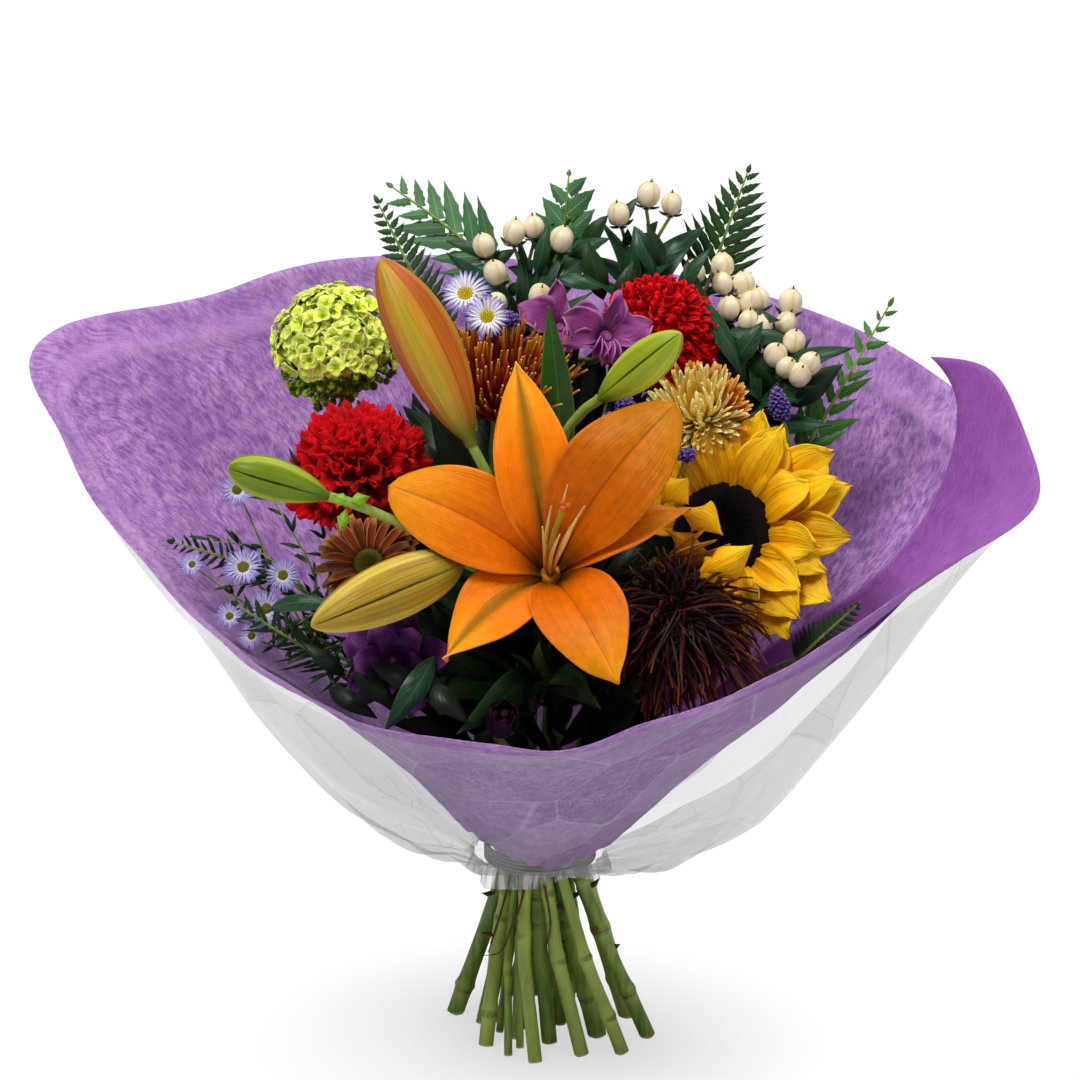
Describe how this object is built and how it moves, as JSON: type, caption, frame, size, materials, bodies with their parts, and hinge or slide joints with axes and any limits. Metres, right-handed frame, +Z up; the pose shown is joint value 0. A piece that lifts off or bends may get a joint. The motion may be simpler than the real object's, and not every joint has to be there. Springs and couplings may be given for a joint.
{
  "type": "mixed flower bouquet",
  "caption": "Hand-tied mixed bouquet of cut flowers with berries and fern, gathered at the waist in a purple non-woven wrap and an outer clear film, standing on its splayed stems.",
  "frame": {"origin": "on the surface that the cut stem ends stand on, under the middle of the whole bouquet's width and depth", "axes": "+Z up along the stems, -Y towards the front of the bouquet, +X to the bouquet's right in the front view, along its greatest width"},
  "size_m": [0.4668, 0.3144, 0.4161],
  "materials": {
    "aster_lilac": "matte",
    "bronze_quill": "matte",
    "carnation_red": "matte",
    "clear_film": "gloss",
    "cream_berry": "satin",
    "dark_petal": "matte",
    "fern_green": "matte",
    "golden_petal": "matte",
    "green_stem": "matte",
    "lily_bud": "satin",
    "lily_orange": "satin",
    "lime_green": "matte",
    "olive_disc": "matte",
    "orchid_purple": "matte",
    "plum_petal": "matte",
    "pompon_red": "matte",
    "purple_nonwoven": "matte",
    "rust_petal": "matte",
    "seed_disc": "matte",
    "stamen": "matte",
    "sunflower_yellow": "matte",
    "tie": "matte",
    "violet_spike": "matte"
  },
  "bodies": {
    "root": {"aster_left": "aster_lilac", "aster_top": "aster_lilac", "carnation_bloom": "carnation_red", "carnation_stem": "green_stem", "clear_film": "clear_film", "dark_mum_bloom": "dark_petal", "dark_mum_stem": "green_stem", "fern_back": "fern_green", "fern_centre": "fern_green", "fern_far_left": "fern_green", "fern_left": "fern_green", "fern_low_left": "fern_green", "fern_low_right": "fern_green", "fern_right": "fern_green", "fern_tall": "fern_green", "golden_mum_bloom": "golden_petal", "golden_mum_stem": "green_stem", "hydrangea_bloom": "lime_green", "hydrangea_stem": "green_stem", "hypericum_left": "cream_berry", "hypericum_mid": "cream_berry", "hypericum_right": "cream_berry", "lily_bloom": "lily_orange", "lily_bud_large": "lily_bud", "lily_bud_left": "lily_bud", "lily_bud_lower": "lily_bud", "lily_bud_right": "lily_bud", "lily_stamens": "stamen", "lily_stem": "green_stem", "orchid_flower_left": "orchid_purple", "orchid_flower_right": "orchid_purple", "orchid_stem": "green_stem", "plum_bud": "plum_petal", "plum_bud_stem": "green_stem", "pompon_bloom": "pompon_red", "pompon_stem": "green_stem", "purple_low_bloom": "orchid_purple", "purple_low_stem": "green_stem", "purple_wrap": "purple_nonwoven", "quill_mum_bloom": "bronze_quill", "quill_mum_stem": "green_stem", "rust_daisy_disc": "olive_disc", "rust_daisy_rays": "rust_petal", "rust_daisy_stem": "green_stem", "statice": "violet_spike", "sunflower_disc": "seed_disc", "sunflower_rays": "sunflower_yellow", "sunflower_stem": "green_stem", "tie_band": "tie"}
  },
  "joints": []
}
